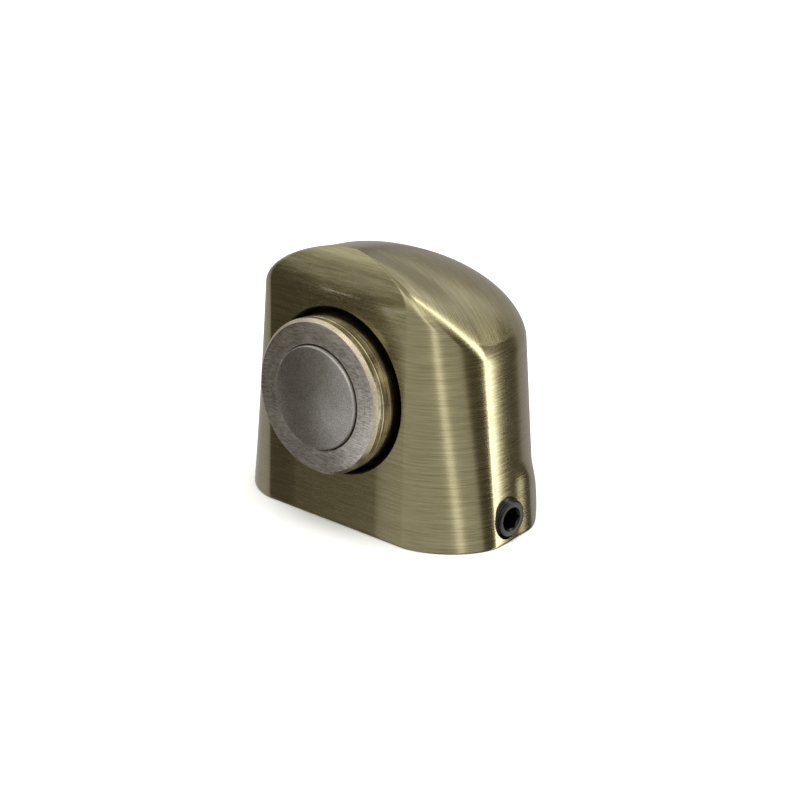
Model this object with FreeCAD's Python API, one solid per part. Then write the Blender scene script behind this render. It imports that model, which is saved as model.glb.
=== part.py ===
import FreeCAD, Part
import math
import os

# Door stop that stands on the floor and holds a door by a magnet.
# A hollow cast body fits over a round base that is screwed to the floor,
# and one set screw in the side of the body grips the groove of that base.
# Millimetres. Z is up, the flat front looks along -Y and the set screw is on the +X side.
# The pieces are worked out from the plane of the front, and moved at the end,
# so that the origin is on the floor in the centre of the base.

# Plan of the body, measured at the floor
FRONT_FLAT_HALF_WIDTH = 17.0
FOOT_HALF_WIDTH = 30.3
FOOT_DEPTH = 42.1
WIDEST_BEHIND_FRONT = 12.5
FRONT_CORNER_POWER = 1.7
BACK_CURVE_POWER = 2.2
SIDE_DRAFT_ANGLE = 7.3
BACK_DRAFT_ANGLE = 1.4

# Dome of the body
BODY_HEIGHT = 53.9
FRONT_SHOULDER_HEIGHT = 45.3
BACK_SHOULDER_HEIGHT = 34.7
APEX_BEHIND_FRONT = 4.2
DOME_POWER = 1.8
DOME_CAP_SHARE = 0.08
DOME_CAP_DROP = 0.1

# Hollow of the body
WALL_THICKNESS = 2.5
HOLLOW_EDGE_HEIGHT = 32.0
CEILING_HEIGHT = 45.0
CEILING_SHARE = 0.66
CEILING_CENTRE_Y = 8.0

# Pocket in the front for the magnet and its cup
MAGNET_AXIS_HEIGHT = 26.9
POCKET_RADIUS = 16.0
POCKET_DEPTH = 5.0
POCKET_FLOOR_THICKNESS = 3.0
POCKET_EDGE_BEVEL = 0.25
SCREW_PILLAR_RADIUS = 6.0
SCREW_PILLAR_LENGTH = 4.5

# Cup of the magnet
CUP_RADIUS = 15.0
CUP_PROUD = 5.4
CUP_FRONT_BEVEL = 0.4
CUP_BACK_BEVEL = 0.5
CUP_MOUTH_BEVEL = 0.15

# Magnet
MAGNET_RADIUS = 10.0
MAGNET_THICKNESS = 5.0
MAGNET_EDGE_BEVEL = 0.35
MAGNET_SIDE_GAP = 0.2
MAGNET_PROUD = 0.7

# Countersunk screw that holds the cup, below the magnet
CUP_SCREW_RADIUS = 2.5
CUP_SCREW_LENGTH = 12.0
CUP_SCREW_TIP_BEVEL = 0.5
CUP_SCREW_HEAD_RADIUS = 4.6
CUP_SCREW_HEAD_LAND = 0.3
CUP_SCREW_HOLE_CLEARANCE = 0.15
COUNTERSINK_HALF_ANGLE = 45.0
DRIVE_WIDTH = 3.0
DRIVE_DEPTH = 1.6

# Floor base
BASE_RADIUS = 16.0
BASE_HEIGHT = 7.5
BASE_EDGE_BEVEL = 0.5
BASE_FRONT_CLEARANCE = 0.2
BASE_GROOVE_DEPTH = 1.395
BASE_HOLE_RADIUS = 2.5
BASE_HOLE_HEAD_RADIUS = 5.0
BASE_HOLE_SPACING = 18.0

# Set screw
SET_SCREW_RADIUS = 4.0
SET_SCREW_HEIGHT = 4.9
SET_SCREW_BEHIND_FRONT = 16.2
SET_SCREW_WALL_SET_BACK = 0.7
SET_SCREW_PROUD = 0.9
SET_SCREW_END_BEVEL = 0.7
SET_SCREW_POINT_RADIUS = 1.0
SET_SCREW_POINT_HALF_ANGLE = 45.0
SOCKET_WIDTH = 4.0
SOCKET_DEPTH = 4.0
SOCKET_MOUTH_BEVEL = 0.2
THREAD_CLEARANCE = 0.05

# Boss of the set screw, outside and inside of the wall
BOSS_RADIUS = 13.0
BOSS_RIM_ROUND = 4.4
BOSS_RIM_STEP_COUNT = 3
BOSS_FACE_BELOW_WALL = 0.85
BOSS_ROOT = 5.4
INNER_BOSS_RADIUS = 7.0
INNER_BOSS_GAP = 1.0

# Ribs inside the body that bear on the base, opposite to the set screw
RIB_COUNT = 2
RIB_SPREAD_ANGLE = 64.0
RIB_THICKNESS = 2.5
RIB_TOP_HEIGHT = 10.0
RIB_ABOVE_FLOOR = 0.4

# Fineness of the curves
CORNER_STEP_COUNT = 7
BACK_STEP_COUNT = 9
WALL_BAND_COUNT = 8
DOME_BAND_COUNT = 10
SLOPE_BAND_COUNT = 3
CUT_MARGIN = 1.0

# Sizes that follow from the ones above
BASE_CENTRE_Y = WALL_THICKNESS + BASE_FRONT_CLEARANCE + BASE_RADIUS
SET_SCREW_WALL_HALF_WIDTH = FOOT_HALF_WIDTH - SET_SCREW_WALL_SET_BACK
SCREW_REACH = math.hypot(SET_SCREW_WALL_HALF_WIDTH, BASE_CENTRE_Y - SET_SCREW_BEHIND_FRONT)
SCREW_TURN = math.degrees(math.asin((BASE_CENTRE_Y - SET_SCREW_BEHIND_FRONT) / SCREW_REACH))
SCREW_OUTER_END = SCREW_REACH + SET_SCREW_PROUD
SCREW_TIP = BASE_RADIUS - BASE_GROOVE_DEPTH
SET_SCREW_LENGTH = SCREW_OUTER_END - SCREW_TIP
CUP_SEAT_Y = POCKET_DEPTH
CUP_FACE_Y = -CUP_PROUD
MAGNET_FACE_Y = CUP_FACE_Y - MAGNET_PROUD
MAGNET_SEAT_Y = MAGNET_FACE_Y + MAGNET_THICKNESS
CUP_BORE_RADIUS = MAGNET_RADIUS + MAGNET_SIDE_GAP
PAD_RADIUS = POCKET_RADIUS + WALL_THICKNESS
PAD_BACK_Y = POCKET_DEPTH + POCKET_FLOOR_THICKNESS

UP = FreeCAD.Vector(0, 0, 1)
ALONG_Y = FreeCAD.Vector(0, 1, 0)


def vec(x, y, z):
    """Point or direction."""
    return FreeCAD.Vector(x, y, z)


def plan_size(height, inset):
    """Half width and depth of the body at a height, drawn in by the inset."""
    half_width = FOOT_HALF_WIDTH - math.tan(math.radians(SIDE_DRAFT_ANGLE)) * height - inset
    depth = FOOT_DEPTH - math.tan(math.radians(BACK_DRAFT_ANGLE)) * height - inset
    return half_width, depth


def plan_steps():
    """Steps of the right half of the plan: whether each is on the back curve, and its angle."""
    corner = [(False, 0.5 * math.pi * step / CORNER_STEP_COUNT) for step in range(CORNER_STEP_COUNT)]
    back = [(True, 0.5 * math.pi * step / BACK_STEP_COUNT) for step in range(BACK_STEP_COUNT)]
    return corner + back + [(True, 0.5 * math.pi)]


def plan_point(on_back, angle, height, inset):
    """Point of the right half of the plan, from the end of the front flat to the back."""
    half_width, depth = plan_size(height, inset)
    power = 2.0 / (BACK_CURVE_POWER if on_back else FRONT_CORNER_POWER)
    rising = math.sin(angle) ** power
    falling = max(0.0, math.cos(angle)) ** power
    if on_back:
        return half_width * falling, WIDEST_BEHIND_FRONT + (depth - WIDEST_BEHIND_FRONT) * rising
    x = FRONT_FLAT_HALF_WIDTH + (half_width - FRONT_FLAT_HALF_WIDTH) * rising
    return x, inset + (WIDEST_BEHIND_FRONT - inset) * (1.0 - falling)


def shoulder_height(on_back, angle):
    """Height at which the wall turns into the dome, falling round the front corner."""
    share = 1.0 if on_back else 1.0 - math.cos(angle) ** (2.0 / FRONT_CORNER_POWER)
    return FRONT_SHOULDER_HEIGHT + (BACK_SHOULDER_HEIGHT - FRONT_SHOULDER_HEIGHT) * share


def mirrored(half):
    """Whole row of points from its right half."""
    return half + [vec(-point.x, point.y, point.z) for point in reversed(half[:-1])]


def foot_row(foot, inset):
    """Points round the body at its foot."""
    half = [plan_point(on_back, angle, foot, inset) for on_back, angle in plan_steps()]
    return mirrored([vec(x, y, foot) for x, y in half])


def row_between(low, high, share):
    """Points at a share of the straight way from one row up to the next."""
    return [start + (end - start) * share for start, end in zip(low, high)]


def dome_row(turn):
    """Points round the dome, from the shoulder at a turn of zero to the cap."""
    share = math.cos(turn) ** (2.0 / DOME_POWER)
    rise = math.sin(turn) ** (2.0 / DOME_POWER)
    half = []
    for on_back, angle in plan_steps():
        shoulder = shoulder_height(on_back, angle)
        height = shoulder + (BODY_HEIGHT - shoulder) * rise
        x, y = plan_point(on_back, angle, height, 0.0)
        if turn == cap_turn():
            height = BODY_HEIGHT - DOME_CAP_DROP
        half.append(vec(x * share, APEX_BEHIND_FRONT + share * (y - APEX_BEHIND_FRONT), height))
    return mirrored(half)


def cap_turn():
    """Turn at which the dome ends in its small flat cap."""
    return math.acos(DOME_CAP_SHARE ** (0.5 * DOME_POWER))


def even_marks(count):
    """Evenly spaced numbers from 0 to 1."""
    return [step / (count - 1) for step in range(count)]


def spaced_marks(row):
    """Parameters of the points of a row, spaced like the points."""
    lengths = [0.0]
    for before, after in zip(row[:-1], row[1:]):
        lengths.append(lengths[-1] + (after - before).Length)
    return [length / lengths[-1] for length in lengths]


def curve_through(points, marks):
    """Smooth curve through points at given parameters."""
    curve = Part.BSplineCurve()
    curve.interpolate(Points=points, Parameters=marks)
    return curve


def band_between(low, high, marks):
    """Face that joins the curves through two rows of points by straight lines."""
    lower = curve_through(low, marks)
    upper = curve_through(high, marks)
    poles = [[start, end] for start, end in zip(lower.getPoles(), upper.getPoles())]
    surface = Part.BSplineSurface()
    surface.buildFromPolesMultsKnots(
        poles,
        lower.getMultiplicities(),
        [2, 2],
        lower.getKnots(),
        [0.0, 1.0],
        False,
        False,
        lower.Degree,
        1,
    )
    return surface.toShape()


def polygon_face(points):
    """Flat face inside a closed row of corners."""
    return Part.Face(Part.makePolygon(points + points[:1]))


def flat_face(row, marks):
    """Flat face inside one row of points and the front line between its ends."""
    edges = [curve_through(row, marks).toShape(), Part.makeLine(row[-1], row[0])]
    return Part.Face(Part.Wire(edges))


def banded_solid(wall, top):
    """Solid through rows of points: its drafted wall, and the rows that close it above."""
    rows = wall + top
    marks = spaced_marks(rows[0])
    faces = [flat_face(rows[0], marks), flat_face(rows[-1], marks)]
    faces += [band_between(low, high, marks) for low, high in zip(rows[:-1], rows[1:])]
    right = [row[0] for row in wall]
    left = [row[-1] for row in reversed(wall)]
    faces.append(polygon_face(right + left))
    closing = [wall[-1]] + top
    for low, high in zip(closing[:-1], closing[1:]):
        faces.append(polygon_face([low[0], high[0], high[-1], low[-1]]))
    shell = Part.makeShell(faces)
    shell.sewShape()
    solid = Part.makeSolid(shell)
    if solid.Volume < 0:
        solid.reverse()
    return solid


def outer_solid():
    """Outer form of the body: drafted wall and rounded dome."""
    dome = [dome_row(cap_turn() * mark) for mark in even_marks(DOME_BAND_COUNT + 1)]
    foot = foot_row(0.0, 0.0)
    wall = [row_between(foot, dome[0], mark) for mark in even_marks(WALL_BAND_COUNT + 1)]
    return banded_solid(wall, dome[1:])


def hollow_solid():
    """Room inside the body: drafted wall, then a slope up to a flat ceiling."""
    foot = foot_row(-CUT_MARGIN, WALL_THICKNESS)
    edge = foot_row(HOLLOW_EDGE_HEIGHT, WALL_THICKNESS)
    ceiling = []
    for point in edge:
        x = point.x * CEILING_SHARE
        y = CEILING_CENTRE_Y + (point.y - CEILING_CENTRE_Y) * CEILING_SHARE
        ceiling.append(vec(x, y, CEILING_HEIGHT))
    wall = [row_between(foot, edge, mark) for mark in even_marks(WALL_BAND_COUNT + 1)]
    slope = [row_between(edge, ceiling, mark) for mark in even_marks(SLOPE_BAND_COUNT + 1)]
    return banded_solid(wall, slope[1:])


def turned(profile, place, axis):
    """Solid turned from a half profile of (radius, distance) points along an axis."""
    points = [vec(radius, 0, distance) for radius, distance in profile]
    face = Part.Face(Part.makePolygon(points + points[:1]))
    solid = face.revolve(vec(0, 0, 0), UP, 360)
    solid.Placement = FreeCAD.Placement(place, FreeCAD.Rotation(UP, axis))
    return solid


def screw_direction():
    """Direction from the axis of the base out along the set screw."""
    angle = math.radians(-SCREW_TURN)
    return vec(math.cos(angle), math.sin(angle), 0)


def base_centre(height):
    """Point on the axis of the base."""
    return vec(0, BASE_CENTRE_Y, height)


def hexagon_prism(width, length, place, axis):
    """Six sided prism of a width across flats, with a corner at the top."""
    corner = width / math.sqrt(3.0)
    points = []
    for step in range(6):
        angle = math.radians(60 * step)
        points.append(vec(corner * math.cos(angle), corner * math.sin(angle), 0))
    prism = Part.Face(Part.makePolygon(points + points[:1])).extrude(vec(0, 0, length))
    prism.Placement = FreeCAD.Placement(place, FreeCAD.Rotation(UP, axis))
    return prism


def outer_boss():
    """Low round boss on the outside of the wall, round the set screw, with a rounded rim."""
    rim = BOSS_RIM_ROUND
    profile = [(0, 0), (BOSS_RADIUS, 0)]
    for step in range(BOSS_RIM_STEP_COUNT + 1):
        angle = 0.5 * math.pi * step / BOSS_RIM_STEP_COUNT
        out = BOSS_RADIUS - rim * (1.0 - math.cos(angle))
        along = BOSS_ROOT - rim * (1.0 - math.sin(angle))
        profile.append((out, along))
    profile.append((0, BOSS_ROOT))
    start = SCREW_REACH - BOSS_FACE_BELOW_WALL - BOSS_ROOT
    return turned(profile, base_centre(SET_SCREW_HEIGHT) + screw_direction() * start, screw_direction())


def inner_boss():
    """Narrower boss inside the wall that gives the set screw its length of thread."""
    start = BASE_RADIUS + INNER_BOSS_GAP
    length = SCREW_REACH - WALL_THICKNESS - start
    place = base_centre(SET_SCREW_HEIGHT) + screw_direction() * start
    return Part.makeCylinder(INNER_BOSS_RADIUS, length, place, screw_direction())


def bearing_ribs():
    """Ribs from the far wall to the base, spread evenly about the line of the set screw."""
    ribs = []
    for index in range(RIB_COUNT):
        offset = RIB_SPREAD_ANGLE * (index / (RIB_COUNT - 1) - 0.5)
        rib = Part.makeBox(
            FOOT_HALF_WIDTH,
            RIB_THICKNESS,
            RIB_TOP_HEIGHT - RIB_ABOVE_FLOOR,
            vec(0, -0.5 * RIB_THICKNESS, RIB_ABOVE_FLOOR),
        )
        rib.rotate(vec(0, 0, 0), UP, 180 - SCREW_TURN + offset)
        rib.translate(base_centre(0))
        ribs.append(rib)
    room = Part.makeCylinder(BASE_RADIUS, BODY_HEIGHT, base_centre(0))
    return [rib.cut(room) for rib in ribs]


def magnet_pad():
    """Solid behind the front wall that holds the pocket and the thread of the cup screw."""
    centre = vec(0, 0, MAGNET_AXIS_HEIGHT)
    pad = Part.makeCylinder(PAD_RADIUS, PAD_BACK_Y, centre, ALONG_Y)
    pillar = Part.makeCylinder(SCREW_PILLAR_RADIUS, PAD_BACK_Y + SCREW_PILLAR_LENGTH, centre, ALONG_Y)
    return [pad, pillar]


def magnet_pocket():
    """Bore in the front with a small bevel at its mouth and the tapped hole behind it."""
    radius = POCKET_RADIUS
    mouth = radius + POCKET_EDGE_BEVEL
    tapped = CUP_SCREW_RADIUS + THREAD_CLEARANCE
    far = PAD_BACK_Y + SCREW_PILLAR_LENGTH + CUT_MARGIN
    profile = [
        (0, -CUT_MARGIN),
        (mouth, -CUT_MARGIN),
        (mouth, 0),
        (radius, POCKET_EDGE_BEVEL),
        (radius, POCKET_DEPTH),
        (tapped, POCKET_DEPTH),
        (tapped, far),
        (0, far),
    ]
    return turned(profile, vec(0, 0, MAGNET_AXIS_HEIGHT), ALONG_Y)


def set_screw_hole():
    """Hole through the wall and its bosses for the set screw."""
    start = BASE_RADIUS
    length = SCREW_OUTER_END + CUT_MARGIN - start
    place = base_centre(SET_SCREW_HEIGHT) + screw_direction() * start
    return Part.makeCylinder(SET_SCREW_RADIUS + THREAD_CLEARANCE, length, place, screw_direction())


def below_floor():
    """Block under the floor that trims the boss flush with the foot."""
    size = 4.0 * FOOT_HALF_WIDTH
    return Part.makeBox(size, size, size, vec(-0.5 * size, -0.5 * size, -size))


def make_body():
    """Hollow body with its bosses, ribs, magnet pocket and tapped holes."""
    kept_inside = magnet_pad() + [inner_boss()] + bearing_ribs()
    hollow = hollow_solid().cut(kept_inside)
    body = outer_solid().fuse(outer_boss())
    body = body.cut([hollow, below_floor(), magnet_pocket(), set_screw_hole()])
    return body.removeSplitter()


def make_cup():
    """Turned steel cup: recess for the magnet and a countersunk hole in its floor."""
    length = CUP_SEAT_Y - CUP_FACE_Y
    recess = MAGNET_SEAT_Y - CUP_FACE_Y
    hole = CUP_SCREW_RADIUS + CUP_SCREW_HOLE_CLEARANCE
    head = CUP_SCREW_HEAD_RADIUS
    slope = (head - hole) / math.tan(math.radians(COUNTERSINK_HALF_ANGLE))
    land = CUP_SCREW_HEAD_LAND
    profile = [
        (CUP_BORE_RADIUS + CUP_MOUTH_BEVEL, 0),
        (CUP_RADIUS - CUP_FRONT_BEVEL, 0),
        (CUP_RADIUS, CUP_FRONT_BEVEL),
        (CUP_RADIUS, length - CUP_BACK_BEVEL),
        (CUP_RADIUS - CUP_BACK_BEVEL, length),
        (hole, length),
        (hole, recess + land + slope),
        (head, recess + land),
        (head, recess),
        (CUP_BORE_RADIUS, recess),
        (CUP_BORE_RADIUS, CUP_MOUTH_BEVEL),
    ]
    return turned(profile, vec(0, CUP_FACE_Y, MAGNET_AXIS_HEIGHT), ALONG_Y)


def make_magnet():
    """Disc magnet with bevelled edges."""
    bevel = MAGNET_EDGE_BEVEL
    profile = [
        (0, 0),
        (MAGNET_RADIUS - bevel, 0),
        (MAGNET_RADIUS, bevel),
        (MAGNET_RADIUS, MAGNET_THICKNESS - bevel),
        (MAGNET_RADIUS - bevel, MAGNET_THICKNESS),
        (0, MAGNET_THICKNESS),
    ]
    return turned(profile, vec(0, MAGNET_FACE_Y, MAGNET_AXIS_HEIGHT), ALONG_Y)


def make_cup_screw():
    """Countersunk screw with a six sided socket, its head level with the floor of the cup."""
    slope = (CUP_SCREW_HEAD_RADIUS - CUP_SCREW_RADIUS) / math.tan(math.radians(COUNTERSINK_HALF_ANGLE))
    tip_bevel = CUP_SCREW_TIP_BEVEL
    profile = [
        (0, 0),
        (CUP_SCREW_HEAD_RADIUS, 0),
        (CUP_SCREW_HEAD_RADIUS, CUP_SCREW_HEAD_LAND),
        (CUP_SCREW_RADIUS, CUP_SCREW_HEAD_LAND + slope),
        (CUP_SCREW_RADIUS, CUP_SCREW_LENGTH - tip_bevel),
        (CUP_SCREW_RADIUS - tip_bevel, CUP_SCREW_LENGTH),
        (0, CUP_SCREW_LENGTH),
    ]
    start = vec(0, MAGNET_SEAT_Y, MAGNET_AXIS_HEIGHT)
    screw = turned(profile, start, ALONG_Y)
    socket = hexagon_prism(DRIVE_WIDTH, DRIVE_DEPTH, start, ALONG_Y)
    return screw.cut(socket)


def make_set_screw():
    """Set screw with a bevelled outer end, a cone point and a six sided socket."""
    radius = SET_SCREW_RADIUS
    point = SET_SCREW_POINT_RADIUS
    cone = (radius - point) / math.tan(math.radians(SET_SCREW_POINT_HALF_ANGLE))
    length = SET_SCREW_LENGTH
    profile = [
        (0, 0),
        (point, 0),
        (radius, cone),
        (radius, length - SET_SCREW_END_BEVEL),
        (radius - SET_SCREW_END_BEVEL, length),
        (0, length),
    ]
    direction = screw_direction()
    centre = base_centre(SET_SCREW_HEIGHT)
    screw = turned(profile, centre + direction * SCREW_TIP, direction)
    outer = SCREW_TIP + length
    socket = hexagon_prism(SOCKET_WIDTH, SOCKET_DEPTH, centre + direction * (outer - SOCKET_DEPTH), direction)
    corner = SOCKET_WIDTH / math.sqrt(3.0)
    mouth = Part.makeCone(
        corner,
        corner + SOCKET_MOUTH_BEVEL,
        SOCKET_MOUTH_BEVEL,
        centre + direction * (outer - SOCKET_MOUTH_BEVEL),
        direction,
    )
    return screw.cut([socket, mouth])


def make_base():
    """Round floor base with a groove for the set screw and two countersunk holes."""
    half = SET_SCREW_POINT_RADIUS
    flare = half + BASE_GROOVE_DEPTH * math.tan(math.radians(SET_SCREW_POINT_HALF_ANGLE))
    z = SET_SCREW_HEIGHT
    bevel = BASE_EDGE_BEVEL
    profile = [
        (0, 0),
        (BASE_RADIUS, 0),
        (BASE_RADIUS, z - flare),
        (SCREW_TIP, z - half),
        (SCREW_TIP, z + half),
        (BASE_RADIUS, z + flare),
        (BASE_RADIUS, BASE_HEIGHT - bevel),
        (BASE_RADIUS - bevel, BASE_HEIGHT),
        (0, BASE_HEIGHT),
    ]
    base = turned(profile, base_centre(0), UP)
    sink = BASE_HOLE_HEAD_RADIUS - BASE_HOLE_RADIUS
    holes = []
    for side in (-1, 1):
        foot = vec(side * 0.5 * BASE_HOLE_SPACING, BASE_CENTRE_Y, 0)
        holes.append(Part.makeCylinder(BASE_HOLE_RADIUS, BASE_HEIGHT, foot))
        cone_foot = foot + vec(0, 0, BASE_HEIGHT - sink)
        holes.append(Part.makeCone(BASE_HOLE_RADIUS, BASE_HOLE_HEAD_RADIUS, sink, cone_foot))
    return base.cut(holes)


def main():
    """Make every piece and write its file."""
    os.makedirs("parts", exist_ok=True)
    pieces = {
        "body": make_body(),
        "magnet_cup": make_cup(),
        "magnet": make_magnet(),
        "cup_screw": make_cup_screw(),
        "set_screw": make_set_screw(),
        "floor_base": make_base(),
    }
    for name, shape in pieces.items():
        shape.translate(vec(0, -BASE_CENTRE_Y, 0))
        shape.exportStep("parts/" + name + ".step")


main()
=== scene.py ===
"""Looks of a floor standing magnetic door stop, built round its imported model.

Lengths in the classes are millimetres, measured in the model's own frame: the
origin is on the floor in the centre of the floor base, Z is up, the flat front
looks along -Y and the set screw is on the +X side. Meshes are made in metres.
"""

import logging
import math
from dataclasses import dataclass, field
from enum import Enum
from typing import ClassVar, NamedTuple, Sequence

import bmesh
import bpy
from mathutils import Matrix, Vector


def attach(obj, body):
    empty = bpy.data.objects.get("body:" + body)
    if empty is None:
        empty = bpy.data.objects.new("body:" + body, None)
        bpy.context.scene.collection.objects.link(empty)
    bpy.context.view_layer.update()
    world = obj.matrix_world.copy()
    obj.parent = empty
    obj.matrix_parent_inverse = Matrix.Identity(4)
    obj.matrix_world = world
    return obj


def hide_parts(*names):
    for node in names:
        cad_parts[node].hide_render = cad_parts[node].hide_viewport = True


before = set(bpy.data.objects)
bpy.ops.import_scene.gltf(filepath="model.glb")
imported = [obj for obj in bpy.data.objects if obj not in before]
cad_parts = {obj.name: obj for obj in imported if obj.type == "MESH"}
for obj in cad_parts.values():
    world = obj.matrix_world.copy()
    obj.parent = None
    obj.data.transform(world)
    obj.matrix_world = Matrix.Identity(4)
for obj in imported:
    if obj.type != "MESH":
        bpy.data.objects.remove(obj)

Tree = bpy.types.NodeTree
Socket = bpy.types.NodeSocket
Material = bpy.types.Material
Piece = bpy.types.Object

LOG = logging.getLogger("door_stop")
MM = 0.001
DEGREES = 180.0 / math.pi
QUARTER_TURN = 0.5 * math.pi
X_AXIS = Vector((1.0, 0.0, 0.0))
Y_AXIS = Vector((0.0, 1.0, 0.0))
Z_AXIS = Vector((0.0, 0.0, 1.0))
BASE_CENTRE_BEHIND_FRONT = 18.7
MAGNET_AXIS_HEIGHT = 26.9
SET_SCREW_HEIGHT = 4.9
SET_SCREW_TURN = 4.83
SET_SCREW_REACH = 29.705
DOME_ATTRIBUTE = "dome_share"
ACROSS_THE_LINES = 0.25


class Node(Enum):
    """Nodes of the model, whose material slots have the same names."""

    BODY = "body"
    CUP = "magnet_cup"
    MAGNET = "magnet"
    CUP_SCREW = "cup_screw"
    SET_SCREW = "set_screw"
    BASE = "floor_base"


# Node trees


def linear(code: str) -> tuple[float, float, float, float]:
    """Turn an sRGB colour into a linear one.

    Args:
        code: six hexadecimal digits.

    Returns:
        Linear red, green and blue, and an alpha of one.
    """
    values = [int(code[place:place + 2], 16) / 255.0 for place in (0, 2, 4)]
    made = [v / 12.92 if v <= 0.04045 else ((v + 0.055) / 1.055) ** 2.4 for v in values]
    return (made[0], made[1], made[2], 1.0)


class Field:
    """A value in a node tree that can be reckoned with like a number."""

    def __init__(self, tree: Tree, socket: Socket) -> None:
        """Keep the tree and the socket that gives the value."""
        self.tree = tree
        self.socket = socket

    def math(self, operation: str, *others: "Field | float", last: bool = False) -> "Field":
        """Reckon with the value.

        Args:
            operation: what is reckoned.
            others: the other values, in order.
            last: whether this value comes after the others.

        Returns:
            The result.
        """
        values = dict(enumerate((*others, self) if last else (self, *others)))
        node = add_node(self.tree, "ShaderNodeMath", {"operation": operation}, values)
        return Field(self.tree, node.outputs[0])

    def __add__(self, other: "Field | float") -> "Field":
        """Sum."""
        return self.math("ADD", other)

    def __sub__(self, other: "Field | float") -> "Field":
        """Difference."""
        return self.math("SUBTRACT", other)

    def __rsub__(self, other: float) -> "Field":
        """Difference from a number."""
        return self.math("SUBTRACT", other, last=True)

    def __mul__(self, other: "Field | float") -> "Field":
        """Product."""
        return self.math("MULTIPLY", other)

    def __truediv__(self, other: "Field | float") -> "Field":
        """Quotient."""
        return self.math("DIVIDE", other)

    def __rtruediv__(self, other: float) -> "Field":
        """Quotient of a number."""
        return self.math("DIVIDE", other, last=True)

    def __pow__(self, other: "Field | float") -> "Field":
        """Power."""
        return self.math("POWER", other)

    def at_least(self, least: "Field | float") -> "Field":
        """The value, or the least one where it is smaller."""
        return self.math("MAXIMUM", least)

    def share(self, start: "Field | float", end: "Field | float") -> "Field":
        """How far the value is from start to end, kept between 0 and 1."""
        return ((self - start) / (end - start)).at_least(0.0).math("MINIMUM", 1.0)

    def eased(self) -> "Field":
        """A share with a smooth start and end."""
        return self * self * (3.0 - self * 2.0)

    def between(self, low: float, high: float, edge: float) -> "Field":
        """One between low and high, falling smoothly to zero over the edge."""
        made = []
        for start, end in ((low - edge, low), (high + edge, high)):
            step = add_node(self.tree, "ShaderNodeMapRange", {"interpolation_type": "SMOOTHSTEP"},
                            {"Value": self, "From Min": start, "From Max": end})
            made.append(Field(self.tree, step.outputs[0]))
        return made[0] * made[1]


def add_node(
    tree: Tree, kind: str, settings: dict | None = None, inputs: dict | None = None
) -> bpy.types.Node:
    """Add a node with its settings and links.

    Args:
        tree: tree that gets the node.
        kind: type of the node.
        settings: properties of the node by name.
        inputs: input sockets by name or number, each a value, a socket or a Field.

    Returns:
        The new node.
    """
    node = tree.nodes.new(kind)
    for name, value in (settings or {}).items():
        setattr(node, name, value)
    for key, value in (inputs or {}).items():
        value = value.socket if isinstance(value, Field) else value
        if isinstance(value, Socket):
            tree.links.new(value, node.inputs[key])
        else:
            node.inputs[key].default_value = value
    return node


def fields(node: bpy.types.Node) -> list[Field]:
    """Outputs of a node as Fields."""
    return [Field(node.id_data, socket) for socket in node.outputs]


# Meshes and objects


def new_object(name: str, mesh: bpy.types.Mesh) -> Piece:
    """Put a mesh in the scene as an object at the origin.

    Args:
        name: name of the object.
        mesh: its mesh.

    Returns:
        The object.
    """
    piece = bpy.data.objects.new(name, mesh)
    bpy.context.scene.collection.objects.link(piece)
    return piece


def finish_mesh(form: bmesh.types.BMesh, mesh: bpy.types.Mesh, matrix: Matrix) -> None:
    """Place a mesh that is being made, turn its faces outwards and write it.

    Args:
        form: mesh that is being made, which is freed.
        mesh: mesh that it is written to.
        matrix: its place.
    """
    form.transform(matrix)
    bmesh.ops.recalc_face_normals(form, faces=form.faces)
    form.to_mesh(mesh)
    form.free()


def finish_object(form: bmesh.types.BMesh, name: str, matrix: Matrix) -> Piece:
    """Make an object of a mesh that is being made.

    Args:
        form: mesh that is being made, which is freed.
        name: name of the object.
        matrix: its place.

    Returns:
        The object.
    """
    mesh = bpy.data.meshes.new(name)
    finish_mesh(form, mesh, matrix)
    return new_object(name, mesh)


def settle(piece: Piece, name: str) -> Piece:
    """Turn the evaluated object into a plain one and take the old one away.

    Args:
        piece: object with modifiers.
        name: name of the plain object.

    Returns:
        The plain object.
    """
    graph = bpy.context.evaluated_depsgraph_get()
    mesh = bpy.data.meshes.new_from_object(piece.evaluated_get(graph))
    bpy.data.objects.remove(piece)
    mesh.name = name
    return new_object(name, mesh)


def cut(piece: Piece, cutters: Sequence[Piece], name: str) -> Piece:
    """Cut closed meshes from a closed mesh.

    Args:
        piece: object that is cut.
        cutters: objects whose room is taken away, and which are removed.
        name: name of the result.

    Returns:
        The cut object, which has the finish of each cutter where it was cut.
    """
    for cutter in cutters:
        modifier = piece.modifiers.new(cutter.name, "BOOLEAN")
        modifier.operation = "DIFFERENCE"
        modifier.solver = "MANIFOLD"
        modifier.material_mode = "TRANSFER"
        modifier.object = cutter
    made = settle(piece, name)
    for cutter in cutters:
        bpy.data.objects.remove(cutter)
    return made


def smooth(piece: Piece, sharp_angle: float) -> None:
    """Shade a piece smooth, except for edges over an angle in degrees."""
    piece.data.polygons.foreach_set("use_smooth", [True] * len(piece.data.polygons))
    piece.data.set_sharp_from_angle(angle=math.radians(sharp_angle))


def dress(piece: Piece, *materials: Material) -> Piece:
    """Give a piece its materials in the order of its slots, with the first one everywhere.

    Args:
        piece: the piece.
        materials: its materials.

    Returns:
        The same piece.
    """
    piece.data.materials.clear()
    piece.data.polygons.foreach_set("material_index", [0] * len(piece.data.polygons))
    for material in materials:
        piece.data.materials.append(material)
    return piece


def stand_for(piece: Piece, node: Node) -> None:
    """Let a finished piece stand for a node of the model."""
    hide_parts(node.value)
    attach(piece, "root")


class Corner(NamedTuple):
    """Corner of a half profile: its radius, its place along the axis and its rounding."""

    out: float
    along: float
    rounding: float = 0.0


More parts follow.
